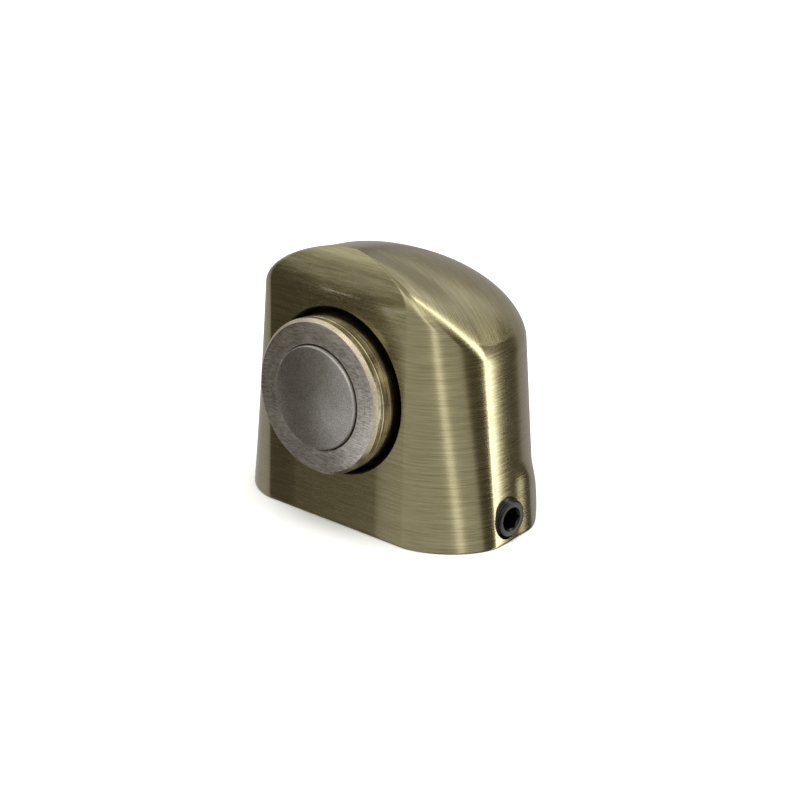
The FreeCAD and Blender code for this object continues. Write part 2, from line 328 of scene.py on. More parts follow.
@dataclass
class Lathe:
    """Turns half profiles round an axis.

    Args:
        place: point of the axis at a distance of zero.
        axis: direction of the axis.
        segments: flat sides of one turn.
        rounding_steps: steps of each rounded corner.
        pole_radius: radius under which a ring of the profile is a single point.
    """

    place: Vector
    axis: Vector
    segments: int = 192
    rounding_steps: int = 5
    pole_radius: float = 1e-6

    def matrix(self) -> Matrix:
        """Matrix from the profile's frame, in millimetres, to the model's, in metres."""
        turn = self.axis.to_track_quat("Z", "Y").to_matrix().to_4x4()
        return Matrix.Scale(MM, 4) @ Matrix.Translation(self.place) @ turn

    def rounded(self, corners: Sequence[Corner]) -> list[Vector]:
        """Replace the rounded corners of a closed profile by short arcs.

        Args:
            corners: corners of the profile in order.

        Returns:
            Points of the profile as (radius, 0, distance).
        """
        sharp = [Vector((corner.out, 0.0, corner.along)) for corner in corners]
        points = []
        for index, (here, corner) in enumerate(zip(sharp, corners)):
            if corner.rounding <= 0.0:
                points.append(here)
                continue
            back = (sharp[index - 1] - here).normalized()
            ahead = (sharp[(index + 1) % len(sharp)] - here).normalized()
            half = 0.5 * back.angle(ahead)
            reach = corner.rounding / math.tan(half)
            middle = here + (back + ahead).normalized() * corner.rounding / math.sin(half)
            start = (here + back * reach - middle).normalized()
            end = (here + ahead * reach - middle).normalized()
            for step in range(self.rounding_steps + 1):
                out = start.slerp(end, step / self.rounding_steps)
                points.append(middle + out * corner.rounding)
        return points

    def mesh(self, name: str, corners: Sequence[Corner]) -> Piece:
        """Turn a closed profile into a closed mesh.

        Args:
            name: name of the object.
            corners: corners of the half profile in order.

        Returns:
            The turned object.
        """
        form = bmesh.new()
        rings = []
        for point in self.rounded(corners):
            if point.x < self.pole_radius:
                rings.append([form.verts.new(point)])
                continue
            turns = (2.0 * math.pi * step / self.segments for step in range(self.segments))
            rings.append([form.verts.new(Matrix.Rotation(turn, 3, "Z") @ point) for turn in turns])
        for low, high in zip(rings, rings[1:] + rings[:1]):
            self._join(form, low, high)
        return finish_object(form, name, self.matrix())

    def cylinder(self, name: str, radius: float, start: float, end: float) -> Piece:
        """Plain cylinder from one distance along the axis to another."""
        corners = [Corner(0.0, start), Corner(radius, start), Corner(radius, end), Corner(0.0, end)]
        return self.mesh(name, corners)

    def _join(self, form: bmesh.types.BMesh, low: list, high: list) -> None:
        """Join two rings of a turned mesh by faces.

        Args:
            form: mesh that is being made.
            low: vertices of one ring, or the one vertex of a pole.
            high: vertices of the next ring, or the one vertex of a pole.
        """
        if len(low) == 1 and len(high) == 1:
            return
        for step in range(self.segments):
            after = (step + 1) % self.segments
            corners = [low[step % len(low)], low[after % len(low)],
                       high[after % len(high)], high[step % len(high)]]
            form.faces.new(list(dict.fromkeys(corners)))


class FormulaSurface:
    """Closed form that a Geometry Nodes tree bends out of a flat grid.

    A form gives the grid's columns and rows, and the point that belongs to each
    place of the grid. Its sizes are the named inputs of the tree.
    """

    columns: int
    rows: int
    merge_distance = 0.001

    def inputs(self) -> dict[str, float]:
        """Named inputs of the tree and their values."""
        whole = ("columns", "rows")
        return {name: value for name, value in vars(self).items() if name not in whole}

    def point(
        self, across: Field, up: Field, size: dict[str, Field]
    ) -> tuple[Field, Field, Field, Field | None]:
        """Reckon a point of the surface.

        Args:
            across: place in the grid's row, from -0.5 to 0.5.
            up: place in the grid's column, from -0.5 to 0.5.
            size: inputs of the tree by name.

        Returns:
            The point's x, y and z in millimetres, and the share of the dome, if there is one.
        """
        raise NotImplementedError

    def tree(self, name: str, material: Material) -> Tree:
        """Build the Geometry Nodes tree.

        Args:
            name: name of the tree.
            material: material of the form.

        Returns:
            The tree.
        """
        tree = bpy.data.node_groups.new(name, "GeometryNodeTree")
        for key, value in self.inputs().items():
            socket = tree.interface.new_socket(key, in_out="INPUT", socket_type="NodeSocketFloat")
            socket.default_value = value
        tree.interface.new_socket("mesh", in_out="OUTPUT", socket_type="NodeSocketGeometry")
        given = add_node(tree, "NodeGroupInput")
        size = {key: Field(tree, given.outputs[key]) for key in self.inputs()}
        grid = add_node(tree, "GeometryNodeMeshGrid", None, {
            "Size X": 1.0, "Size Y": 1.0, "Vertices X": self.columns, "Vertices Y": self.rows})
        place = add_node(tree, "GeometryNodeInputPosition")
        across, up, _ = fields(add_node(tree, "ShaderNodeSeparateXYZ", None, {0: place.outputs[0]}))
        x, y, z, dome = self.point(across, up, size)
        mesh = grid.outputs["Mesh"]
        if dome is not None:
            kept = add_node(tree, "GeometryNodeStoreNamedAttribute",
                            {"data_type": "FLOAT", "domain": "POINT"},
                            {"Geometry": mesh, "Name": DOME_ATTRIBUTE, "Value": dome})
            mesh = kept.outputs[0]
        moved = add_node(tree, "ShaderNodeCombineXYZ", None, {0: x, 1: y, 2: z})
        shaped = add_node(tree, "GeometryNodeSetPosition", None,
                          {"Geometry": mesh, "Position": moved.outputs[0]})
        closed = add_node(tree, "GeometryNodeMergeByDistance", None,
                          {"Geometry": shaped.outputs[0], "Distance": self.merge_distance})
        real = add_node(tree, "GeometryNodeRealizeInstances", None, {0: closed.outputs[0]})
        finished = add_node(tree, "GeometryNodeSetMaterial", None,
                            {"Geometry": real.outputs[0], "Material": material})
        add_node(tree, "NodeGroupOutput", None, {0: finished.outputs[0]})
        return tree

    def grow(self, name: str, material: Material, matrix: Matrix) -> Piece:
        """Run the tree and make a plain object of its result.

        Args:
            name: name of the object.
            material: its material.
            matrix: its place, from millimetres to metres.

        Returns:
            The object.
        """
        piece = new_object(name, bpy.data.meshes.new(name))
        modifier = piece.modifiers.new(name, "NODES")
        modifier.node_group = self.tree(name, material)
        for item in modifier.node_group.interface.items_tree:
            if item.in_out == "INPUT":
                modifier[item.identifier] = self.inputs()[item.name]
        made = settle(piece, name)
        form = bmesh.new()
        form.from_mesh(made.data)
        finish_mesh(form, made.data, matrix)
        return dress(made, material)


def hexagon(name: str, lathe: Lathe, width: float, start: float, end: float) -> Piece:
    """Hexagon prism for cutting a socket.

    Args:
        name: name of the object.
        lathe: its place and axis.
        width: distance across the flats.
        start: inner end along the axis.
        end: outer end along the axis.

    Returns:
        The prism.
    """
    form = bmesh.new()
    corner = width / math.sqrt(3.0)
    sides = 6
    turns = [Matrix.Rotation(2.0 * math.pi * step / sides, 3, "Z") for step in range(sides)]
    low, high = ([form.verts.new(turn @ Vector((corner, 0.0, along))) for turn in turns]
                 for along in (start, end))
    form.faces.new(low)
    form.faces.new(high)
    for step in range(sides):
        after = (step + 1) % sides
        form.faces.new([low[step], low[after], high[after], high[step]])
    return finish_object(form, name, lathe.matrix())


def block(name: str, size: Vector, matrix: Matrix) -> Piece:
    """Box for cutting, with its edges' lengths and the place of its centre."""
    form = bmesh.new()
    bmesh.ops.create_cube(form, size=1.0, matrix=matrix @ Matrix.Diagonal(size.to_4d()))
    return finish_object(form, name, Matrix.Scale(MM, 4))


def screw_direction() -> Vector:
    """Direction from the axis of the base out along the set screw."""
    return Matrix.Rotation(math.radians(-SET_SCREW_TURN), 3, "Z") @ X_AXIS


def screw_lathe(start: float, segments: int = 96) -> Lathe:
    """Lathe on the set screw's axis, which starts at a distance from the base's axis."""
    direction = screw_direction()
    place = Vector((0.0, 0.0, SET_SCREW_HEIGHT)) + direction * start
    return Lathe(place, direction, segments)


def magnet_lathe(proud: float, segments: int) -> Lathe:
    """Lathe on the magnet's axis, which starts at a distance in front of the flat front."""
    place = Vector((0.0, -BASE_CENTRE_BEHIND_FRONT - proud, MAGNET_AXIS_HEIGHT))
    return Lathe(place, Y_AXIS, segments)


# Finishes


@dataclass(frozen=True)
class Finish:
    """A finish whose tones lie between a dark and a light one.

    Args:
        name: name of the material.
        light: bright tone.
        dark: dark tone.
    """

    TONES: ClassVar[tuple[float, float]] = (0.0, 1.0)
    name: str
    light: str
    dark: str

    def start(self) -> tuple[Material, Tree, bpy.types.Node]:
        """Start the material.

        Returns:
            The material, its tree and its texture coordinates.
        """
        made = bpy.data.materials.new(self.name)
        made.use_nodes = True
        made.node_tree.nodes.clear()
        return made, made.node_tree, add_node(made.node_tree, "ShaderNodeTexCoord")

    def toned(self, tree: Tree, tone: Field) -> Socket:
        """Colour for a tone, dark up to the first of the TONES and light from the second.

        Args:
            tree: tree of the material.
            tone: the tone.

        Returns:
            Socket of the colour.
        """
        ramp = add_node(tree, "ShaderNodeValToRGB", None, {"Fac": tone})
        ends = zip(ramp.color_ramp.elements, self.TONES, (self.dark, self.light))
        for element, place, code in ends:
            element.position = place
            element.color = linear(code)
        return ramp.outputs[0]

    def close(self, tree: Tree, inputs: dict) -> None:
        """Give the tree its shader and its output.

        Args:
            tree: tree of the material.
            inputs: inputs of the shader by name.
        """
        shader = add_node(tree, "ShaderNodeBsdfPrincipled", None, inputs)
        add_node(tree, "ShaderNodeOutputMaterial", None, {"Surface": shader.outputs[0]})


def from_magnet_axis(tree: Tree, place: Socket) -> Socket:
    """Object coordinates measured from the magnet's axis."""
    centred = add_node(tree, "ShaderNodeVectorMath", {"operation": "SUBTRACT"},
                       {0: place, 1: (0.0, 0.0, MM * MAGNET_AXIS_HEIGHT)})
    return centred.outputs[0]


def tilted(tree: Tree, normal: Socket, tilt: Socket) -> Socket:
    """Normal turned towards a small sideways vector.

    Args:
        tree: tree of the material.
        normal: normal of the surface.
        tilt: vector that is added to it.

    Returns:
        Socket of the new normal.
    """
    added = add_node(tree, "ShaderNodeVectorMath", {"operation": "ADD"}, {0: normal, 1: tilt})
    unit = add_node(tree, "ShaderNodeVectorMath", {"operation": "NORMALIZE"}, {0: added.outputs[0]})
    return unit.outputs[0]


def swollen(tree: Tree, place: bpy.types.Node, swell: float) -> Socket:
    """Normal of a face that was ground slightly domed about the magnet's axis.

    Args:
        tree: tree of the material.
        place: texture coordinates.
        swell: tilt of the normal per millimetre from the axis.

    Returns:
        Socket of the new normal.
    """
    flat = add_node(tree, "ShaderNodeVectorMath", {"operation": "MULTIPLY"}, {
        0: from_magnet_axis(tree, place.outputs["Object"]), 1: (swell / MM, 0.0, swell / MM)})
    return tilted(tree, place.outputs["Normal"], flat.outputs[0])


@dataclass(frozen=True)
class BrushedBrass(Finish):
    """Die-cast zinc plated with antique brass, brushed by a belt and lacquered.

    The plating is toned brown and relieved by a fine belt, so it is a dull olive
    gold with short lines along the belt's way, darker where the toning stays. The
    walls are brushed round the body and the dome from side to side.

    Args:
        line_width: width of the fine lines, drawn coarse enough to show.
        line_length: their length.
        broad_stretch: scale of the broad lines as a share of the fine ones'.
        fine_share: how much of the tone comes from the fine lines.
        line_height: height of the lines.
        line_strength: how much of it shows.
        roughness: mean roughness.
        roughness_spread: how far it varies with the lines.
        anisotropy: how far highlights are drawn out across the lines.
        lacquer_roughness: roughness of the lacquer.
        dome_start: share of the dome at which the walls' lines end.
        dome_end: share from which all lines are the dome's.
        buffed_across: half width of the front's middle that stays flat.
        buffed_height: height under which the front stays flat.
        buffed_start: distance from there at which it starts to fall back.
        buffed_reach: distance over which it does.
        buffed_tilt: how far it falls back, as a tilt of the normal.
        buffed_facing: share of the normal that faces forwards, from none to all of it.
    """

    TONES: ClassVar[tuple[float, float]] = (0.36, 0.62)
    name: str = "antique_brass_brushed"
    light: str = "B7AF84"
    dark: str = "8D8158"
    line_width: float = 0.11
    line_length: float = 6.0
    broad_stretch: float = 0.3
    fine_share: float = 0.65
    line_height: float = 0.03
    line_strength: float = 0.2
    roughness: float = 0.26
    roughness_spread: float = 0.14
    anisotropy: float = 0.55
    lacquer_roughness: float = 0.09
    dome_start: float = 0.06
    dome_end: float = 0.2
    buffed_across: float = 3.0
    buffed_height: float = 32.0
    buffed_start: float = 7.0
    buffed_reach: float = 9.0
    buffed_tilt: float = 0.22
    buffed_facing: tuple[float, float] = (0.9, 0.995)

    def lines(self, tree: Tree, across: Field, along: Field, off: Field) -> tuple[Field, Field]:
        """Brush lines in one direction.

        Args:
            tree: tree of the material.
            across: coordinate across the lines, in metres.
            along: coordinate along the lines.
            off: coordinate off the surface.

        Returns:
            The height of the fine lines and that of the broad ones, from 0 to 1.
        """
        made = []
        for stretch, detail in ((1.0, 3.0), (self.broad_stretch, 2.0)):
            long = stretch / (MM * self.line_length)
            wide = stretch / (MM * self.line_width)
            place = add_node(tree, "ShaderNodeCombineXYZ", None,
                             {0: along * long, 1: off * long, 2: across * wide})
            noise = add_node(tree, "ShaderNodeTexNoise", None, {
                "Vector": place.outputs[0], "Scale": 1.0, "Detail": detail, "Roughness": 0.6})
            made.append(Field(tree, noise.outputs["Fac"]))
        return made[0], made[1]

    def direction(self, tree: Tree, on_dome: Field, normal: Socket) -> Socket:
        """Direction of the brush lines.

        Args:
            tree: tree of the material.
            on_dome: one on the dome and zero on the walls.
            normal: normal of the surface.

        Returns:
            Socket of the direction.
        """
        ways = []
        for axis in (Z_AXIS, Y_AXIS):
            crossed = add_node(tree, "ShaderNodeVectorMath", {"operation": "CROSS_PRODUCT"},
                               {0: tuple(axis), 1: normal})
            ways.append(crossed.outputs[0])
        mixed = add_node(tree, "ShaderNodeMix", {"data_type": "VECTOR"},
                         {"Factor": on_dome.math("GREATER_THAN", 0.5), 4: ways[0], 5: ways[1]})
        return mixed.outputs[1]

    def buffed(self, tree: Tree, x: Field, z: Field, normal: Socket) -> Socket:
        """Normal of the front, whose upper corners fell back a little in buffing.

        Args:
            tree: tree of the material.
            x: coordinate across the front, in metres.
            z: height over the floor.
            normal: normal of the surface.

        Returns:
            Socket of the tilted normal.
        """
        beside = (x.math("ABSOLUTE") - MM * self.buffed_across).at_least(0.0)
        above = (z - MM * self.buffed_height).at_least(0.0)
        reach = ((beside * beside + above * above) ** 0.5).at_least(MM)
        facing = fields(add_node(tree, "ShaderNodeSeparateXYZ", None, {0: normal}))
        front = (facing[1] * -1.0).share(*self.buffed_facing)
        fallen = (reach - MM * self.buffed_start).share(0.0, MM * self.buffed_reach)
        slope = fallen * self.buffed_tilt * front
        tilt = add_node(tree, "ShaderNodeCombineXYZ", None, {
            0: slope * x.math("SIGN") * beside / reach, 2: slope * above / reach})
        return tilted(tree, normal, tilt.outputs[0])

    def material(self) -> Material:
        """Build the material.

        Returns:
            The material, which reads object coordinates and the share of the dome.
        """
        made, tree, place = self.start()
        normal = place.outputs["Normal"]
        dome = add_node(tree, "ShaderNodeAttribute", {"attribute_name": DOME_ATTRIBUTE})
        on_dome = Field(tree, dome.outputs["Fac"]).share(self.dome_start, self.dome_end)
        parts = add_node(tree, "ShaderNodeSeparateXYZ", None, {0: place.outputs["Object"]})
        x, y, z = fields(parts)
        wall_fine, wall_broad = self.lines(tree, z, x, y)
        dome_fine, dome_broad = self.lines(tree, y, x, z)
        fine = wall_fine + (dome_fine - wall_fine) * on_dome
        broad = wall_broad + (dome_broad - wall_broad) * on_dome
        tone = fine * self.fine_share + broad * (1.0 - self.fine_share)
        buffed = self.buffed(tree, x, z, normal)
        bump = add_node(tree, "ShaderNodeBump", None, {
            "Height": fine, "Strength": self.line_strength, "Distance": MM * self.line_height,
            "Normal": buffed})
        smoothest = self.roughness - 0.5 * self.roughness_spread
        self.close(tree, {
            "Base Color": self.toned(tree, tone),
            "Metallic": 1.0,
            "Roughness": fine * self.roughness_spread + smoothest,
            "Anisotropic": self.anisotropy,
            "Anisotropic Rotation": ACROSS_THE_LINES,
            "Tangent": self.direction(tree, on_dome, normal),
            "Normal": bump.outputs[0],
            "Coat Normal": buffed,
            "Coat Weight": 1.0,
            "Coat Roughness": self.lacquer_roughness,
        })
        return made


@dataclass(frozen=True)
# Also used, nearly black and matt, as the painted shade in the magnet pocket.
class CastSkin(Finish):
    """Surface left as it came from the mould, uneven and grainy.

    Args:
        grain: size of the grain.
        height: height of the grain.
        strength: how much of it shows.
        metallic: share of metal.
        roughness: roughness.
        specular: strength of the gloss of what isn't metal.
    """

    grain: float = 0.5
    height: float = 0.1
    strength: float = 0.4
    metallic: float = 1.0
    roughness: float = 0.6
    specular: float = 0.5

    def material(self) -> Material:
        """Build the material.

        Returns:
            The material, which reads object coordinates.
        """
        made, tree, place = self.start()
        grain = add_node(tree, "ShaderNodeTexNoise", None, {
            "Vector": place.outputs["Object"], "Scale": 1.0 / (MM * self.grain), "Detail": 4.0})
        tone = Field(tree, grain.outputs["Fac"])
        bump = add_node(tree, "ShaderNodeBump", None,
                        {"Height": tone, "Strength": self.strength, "Distance": MM * self.height})
        self.close(tree, {
            "Base Color": self.toned(tree, tone), "Metallic": self.metallic,
            "Roughness": self.roughness, "Specular IOR Level": self.specular,
            "Normal": bump.outputs[0],
        })
        return made


@dataclass(frozen=True)
class TurnedSteel(Finish):
    """Steel that was faced and turned on a lathe, with fine rings about the magnet's axis.

    Args:
        ring_width: distance between the rings.
        scratch: how much of the rings is broken up by short scratches.
        roughness: mean roughness.
        anisotropy: how far the highlights are drawn out across the rings.
        sectors: how much the tone changes round the axis.
        swell: tilt of the normal per millimetre from the axis.
        ring_change: size over which a ring's tone changes.
        scratch_length: length of the scratches.
        scratch_width: width of the scratches.
        scratch_turn: their turn about the axis, in radians.
        sector_count: how often the tone changes in a radian round the axis.
        sector_depth: size over which it changes away from the axis.
        mark_height: height of the tool marks.
        mark_strength: how much of it shows.
    """

    TONES: ClassVar[tuple[float, float]] = (0.35, 0.65)
    ring_width: float
    scratch: float
    roughness: float
    anisotropy: float
    sectors: float
    swell: float = 0.0
    ring_change: float = 25.0 / 3.0
    scratch_length: float = 10.0 / 9.0
    scratch_width: float = 1.0 / 6.0
    scratch_turn: float = 0.7
    sector_count: float = 1.6
    sector_depth: float = 6.25
    mark_height: float = 0.03
    mark_strength: float = 0.3

    def material(self) -> Material:
        """Build the material.

        Returns:
            The material, which reads object coordinates.
        """
        made, tree, place = self.start()
        centred = from_magnet_axis(tree, place.outputs["Object"])
        x, y, z = fields(add_node(tree, "ShaderNodeSeparateXYZ", None, {0: centred}))
        out = (x * x + z * z) ** 0.5
        change = 1.0 / (MM * self.ring_change)
        rings = add_node(tree, "ShaderNodeCombineXYZ", None, {
            0: x * change, 1: (out + y) * (1.0 / (MM * self.ring_width)), 2: z * change})
        long = 1.0 / (MM * self.scratch_length)
        turned = add_node(tree, "ShaderNodeMapping", None, {
            "Vector": centred, "Rotation": (0.0, self.scratch_turn, 0.0),
            "Scale": (long, long, 1.0 / (MM * self.scratch_width))})
        around = add_node(tree, "ShaderNodeCombineXYZ", None, {
            0: x / out * self.sector_count, 1: out * (1.0 / (MM * self.sector_depth)),
            2: z / out * self.sector_count})
        tones = []
        for pattern, detail, uneven in ((rings, 3.0, 0.65), (turned, 2.0, 0.6), (around, 3.0, 0.6)):
            noise = add_node(tree, "ShaderNodeTexNoise", None, {
                "Vector": pattern.outputs[0], "Scale": 1.0, "Detail": detail, "Roughness": uneven})
            tones.append(Field(tree, noise.outputs["Fac"]))
        fine, cross, sector = tones
        tone = fine * (1.0 - self.scratch) + cross * self.scratch + (sector - 0.5) * self.sectors
        bump = add_node(tree, "ShaderNodeBump", None, {
            "Height": tone, "Strength": self.mark_strength, "Distance": MM * self.mark_height,
            "Normal": swollen(tree, place, self.swell)})
        tangent = add_node(tree, "ShaderNodeTangent", {"direction_type": "RADIAL", "axis": "Y"})
        self.close(tree, {
            "Base Color": self.toned(tree, tone), "Metallic": 1.0,
            "Roughness": self.roughness, "Anisotropic": self.anisotropy,
            "Anisotropic Rotation": ACROSS_THE_LINES, "Tangent": tangent.outputs[0],
            "Normal": bump.outputs[0],
        })
        return made


@dataclass(frozen=True)
class GrainedMetal(Finish):
    """Plain metal surface with a fine even grain.

    Args:
        grain: size of the grain.
        roughness: mean roughness.
        height: height of the grain.
        strength: how much of it shows.
        metallic: share of metal, lower for a conversion layer such as black oxide.
        swell: tilt of the normal per millimetre from the magnet's axis.
        cloud: size of the soft clouds in the tone.
        cloud_share: how much of the tone they make.
        roughness_spread: how far the roughness varies with the tone.
    """

    TONES: ClassVar[tuple[float, float]] = (0.34, 0.66)
    grain: float
    roughness: float
    height: float = 0.02
    strength: float = 0.5
    metallic: float = 1.0
    swell: float = 0.0
    cloud: float = 50.0 / 11.0
    cloud_share: float = 0.12
    roughness_spread: float = 0.2

    def material(self) -> Material:
        """Build the material.

        Returns:
            The material, which reads object coordinates.
        """
        made, tree, place = self.start()
        grain = add_node(tree, "ShaderNodeTexNoise", None, {
            "Vector": place.outputs["Object"], "Scale": 1.0 / (MM * self.grain),
            "Detail": 3.0, "Roughness": 0.6})
        cloud = add_node(tree, "ShaderNodeTexNoise", None, {
            "Vector": place.outputs["Object"], "Scale": 1.0 / (MM * self.cloud), "Detail": 2.0})
        fine = Field(tree, grain.outputs["Fac"]) * (1.0 - self.cloud_share)
        tone = fine + Field(tree, cloud.outputs["Fac"]) * self.cloud_share
        bump = add_node(tree, "ShaderNodeBump", None, {
            "Height": grain.outputs["Fac"], "Strength": self.strength, "Distance": MM * self.height,
            "Normal": swollen(tree, place, self.swell)})
        smoothest = self.roughness - 0.5 * self.roughness_spread
        self.close(tree, {
            "Base Color": self.toned(tree, tone), "Metallic": self.metallic,
            "Roughness": tone * self.roughness_spread + smoothest, "Normal": bump.outputs[0],
        })
        return made


# Body


@dataclass
class DomedForm(FormulaSurface):
    """Closed form with a flat front, rounded corners, drafted walls and a dome.

    Every field but the grid's is an input of the Geometry Nodes tree, in
    millimetres, degrees or shares of the grid. Heights are over the floor and
    depths are behind the flat front.
    """

    front_flat: float = 17.0
    half_width: float = 30.3
    depth: float = 42.1
    widest: float = 12.5
    corner_power: float = 1.7
    back_power: float = 2.2
    side_draft: float = 7.3
    back_draft: float = 1.4
    height: float = 53.8
    front_shoulder: float = 45.3
    back_shoulder: float = 34.7
    shoulder_blend: float = 0.5
    apex: float = 4.2
    dome_power: float = 1.8
    foot_bevel: float = 0.35
    foot: float = 0.0
    inset: float = 0.0
    boss_height: float = 0.9
    boss_middle: float = 5.0
    boss_half_length: float = 14.0
    boss_half_height: float = 9.0
    boss_edge: float = 0.4
    boss_start: float = 2.5
    boss_full: float = 9.0
    columns: int = 401
    rows: int = 181
    flat_share: float = 0.14
    corner_share: float = 0.5
    cap_share: float = 0.015
    bevel_share: float = 0.04
    wall_share: float = 0.5

    def point(
        self, across: Field, up: Field, size: dict[str, Field]
    ) -> tuple[Field, Field, Field, Field]:
        """Reckon a point of the surface.

        Args:
            across: from -0.5 at the back over 0 in the middle of the front to 0.5.
            up: from -0.5 in the middle of the foot to 0.5 at the apex.
            size: inputs of the tree by name.

        Returns:
            The point's x, y and z in millimetres, and the share of the dome.
        """
        side = across.math("SIGN")
        way = across.math("ABSOLUTE") * 2.0
        flat = way.share(0.0, size["flat_share"])
        corner = way.share(size["flat_share"], size["corner_share"]) * QUARTER_TURN
        back = way.share(size["corner_share"], 1.0) * QUARTER_TURN
        corner_exponent, back_exponent, dome_exponent = (
            2.0 / size[name] for name in ("corner_power", "back_power", "dome_power"))
        corner_out = corner.math("SINE").at_least(0.0) ** corner_exponent
        corner_in = 1.0 - corner.math("COSINE").at_least(0.0) ** corner_exponent
        back_side = back.math("COSINE").at_least(0.0) ** back_exponent
        back_way = back.math("SINE").at_least(0.0) ** back_exponent

        up = up + 0.5
        cap = up.share(0.0, size["cap_share"])
        bevel = up.share(size["cap_share"], size["bevel_share"]) * QUARTER_TURN
        wall = up.share(size["bevel_share"], size["wall_share"])
        dome = up.share(size["wall_share"], 1.0)
        turn = dome * QUARTER_TURN
        drawn_in = size["foot_bevel"] * (1.0 - bevel.math("SINE")) + size["inset"]
        share = turn.math("COSINE").at_least(0.0) ** dome_exponent
        rise = turn.math("SINE").at_least(0.0) ** dome_exponent

        behind = corner_in + back_way * 2.0
        fallen = behind.math("SMOOTH_MIN", 1.0, size["shoulder_blend"])
        fall = size["front_shoulder"] - size["back_shoulder"]
        shoulder = size["front_shoulder"] - fall * fallen - size["inset"]
        low = size["foot"] + size["foot_bevel"] * (1.0 - bevel.math("COSINE"))
        wall_top = size["foot"] + size["foot_bevel"]
        z = low + (shoulder - wall_top) * wall + (size["height"] - size["inset"] - shoulder) * rise

        lean, back_lean = (z * (size[name] / DEGREES).math("TANGENT")
                           for name in ("side_draft", "back_draft"))
        half_width = size["half_width"] - lean - drawn_in
        depth = size["depth"] - back_lean - drawn_in
        x = (size["front_flat"] * flat + (half_width - size["front_flat"]) * corner_out) * back_side
        y = drawn_in + (size["widest"] - drawn_in) * corner_in + (depth - size["widest"]) * back_way
        x, y = self._with_boss(x, y, z, side, size)
        y = (y - BASE_CENTRE_BEHIND_FRONT) * cap + BASE_CENTRE_BEHIND_FRONT
        y = size["apex"] + (y - size["apex"]) * share
        return x * side * cap * share, y - BASE_CENTRE_BEHIND_FRONT, z, dome

    def _with_boss(
        self, x: Field, y: Field, z: Field, side: Field, size: dict[str, Field]
    ) -> tuple[Field, Field]:
        """Raise the low round boss of the set screw out of the wall.

        Args:
            x: distance of the wall from the middle plane.
            y: distance behind the front.
            z: height.
            side: 1 on the side of the screw and -1 on the other.
            size: inputs of the tree by name.

        Returns:
            The new x and y.
        """
        turn = math.radians(SET_SCREW_TURN)
        across = x * math.sin(turn) + (y - BASE_CENTRE_BEHIND_FRONT) * math.cos(turn)
        above = (z - SET_SCREW_HEIGHT) / size["boss_half_height"]
        along = (across - size["boss_middle"]) / size["boss_half_length"]
        inside = (1.0 - (along * along + above * above) ** 0.5).share(0.0, size["boss_edge"])
        back = across.share(size["boss_start"], size["boss_full"])
        lift = size["boss_height"] * inside.eased() * back.eased() * side.at_least(0.0)
        return x + lift * math.cos(turn), y - lift * math.sin(turn)


@dataclass
class StopBody:
    """Hollow body with its magnet pocket, tapped hole and the room inside."""

    outside: DomedForm = field(default_factory=DomedForm)
    wall: float = 2.5
    pocket_radius: float = 16.0
    pocket_depth: float = 5.0
    pocket_mouth: float = 0.3
    pocket_rounding: float = 0.4
    pad_radius: float = 18.5
    pad_back: float = 8.0
    pillar_radius: float = 6.0
    pillar_back: float = 12.5
    tapped_radius: float = 2.55
    screw_hole_radius: float = 4.05
    inner_boss_radius: float = 7.0
    inner_boss_start: float = 17.0
    rib_spread: float = 64.0
    rib_thickness: float = 2.5
    rib_top: float = 10.0
    rib_foot: float = 0.4
    base_radius: float = 16.0
    margin: float = 1.0
    sharp_angle: float = 28.0

    def room(self, inside: Material) -> Piece:
        """Room inside the body, left free round the pad, the bosses and the ribs.

        Args:
            inside: finish of the inside.

        Returns:
            The room as a closed mesh.
        """
        inner = DomedForm(inset=self.wall, foot=-self.margin, foot_bevel=0.0, boss_height=0.0,
                          columns=161, rows=81)
        front = magnet_lathe(0.0, 96)
        kept = [
            front.cylinder("pad", self.pad_radius, -self.margin, self.pad_back),
            front.cylinder("pillar", self.pillar_radius, -self.margin, self.pillar_back),
            screw_lathe(0.0).cylinder("inner_boss", self.inner_boss_radius,
                                      self.inner_boss_start, SET_SCREW_REACH),
        ]
        size = Vector((self.outside.half_width - self.base_radius, self.rib_thickness,
                       self.rib_top - self.rib_foot))
        middle = Matrix.Translation((self.base_radius + 0.5 * size.x, 0.0,
                                     0.5 * (self.rib_foot + self.rib_top)))
        for side in (-0.5, 0.5):
            angle = math.radians(180.0 - SET_SCREW_TURN + side * self.rib_spread)
            kept.append(block("rib", size, Matrix.Rotation(angle, 4, "Z") @ middle))
        room = inner.grow("room", inside, Matrix.Scale(MM, 4))
        return cut(room, [dress(piece, inside) for piece in kept], "room")

    def pocket(self, shade: Material) -> Piece:
        """Room of the pocket and of the tapped hole behind it.

        Args:
            shade: painted shade of the pocket, a near-black matt finish that stands for its shadow.

        Returns:
            The room as a closed mesh.
        """
        mouth = self.pocket_radius + self.pocket_mouth
        deep = self.pillar_back + self.margin
        piece = magnet_lathe(0.0, 192).mesh("pocket", [
            Corner(0.0, -self.margin), Corner(mouth, -self.margin), Corner(mouth, 0.0),
            Corner(self.pocket_radius, self.pocket_mouth, self.pocket_rounding),
            Corner(self.pocket_radius, self.pocket_depth),
            Corner(self.tapped_radius, self.pocket_depth),
            Corner(self.tapped_radius, deep), Corner(0.0, deep),
        ])
        return dress(piece, shade)

    def build(self, brass: Material, inside: Material, shade: Material) -> Piece:
        """Build the body and let it stand for its node.

        Args:
            brass: finish of the outside.
            inside: finish of the inside.
            shade: painted shade of the pocket, a near-black matt finish that stands for its shadow.

        Returns:
            The body.
        """
        form = self.outside.grow("form", brass, Matrix.Scale(MM, 4))
        hole = screw_lathe(0.0).cylinder("hole", self.screw_hole_radius, self.base_radius,
                                         SET_SCREW_REACH + self.margin)
        cutters = [self.room(inside), self.pocket(shade), dress(hole, inside)]
        body = cut(form, cutters, "stop_body")
        smooth(body, self.sharp_angle)
        stand_for(body, Node.BODY)
        return body


# Magnet and its cup


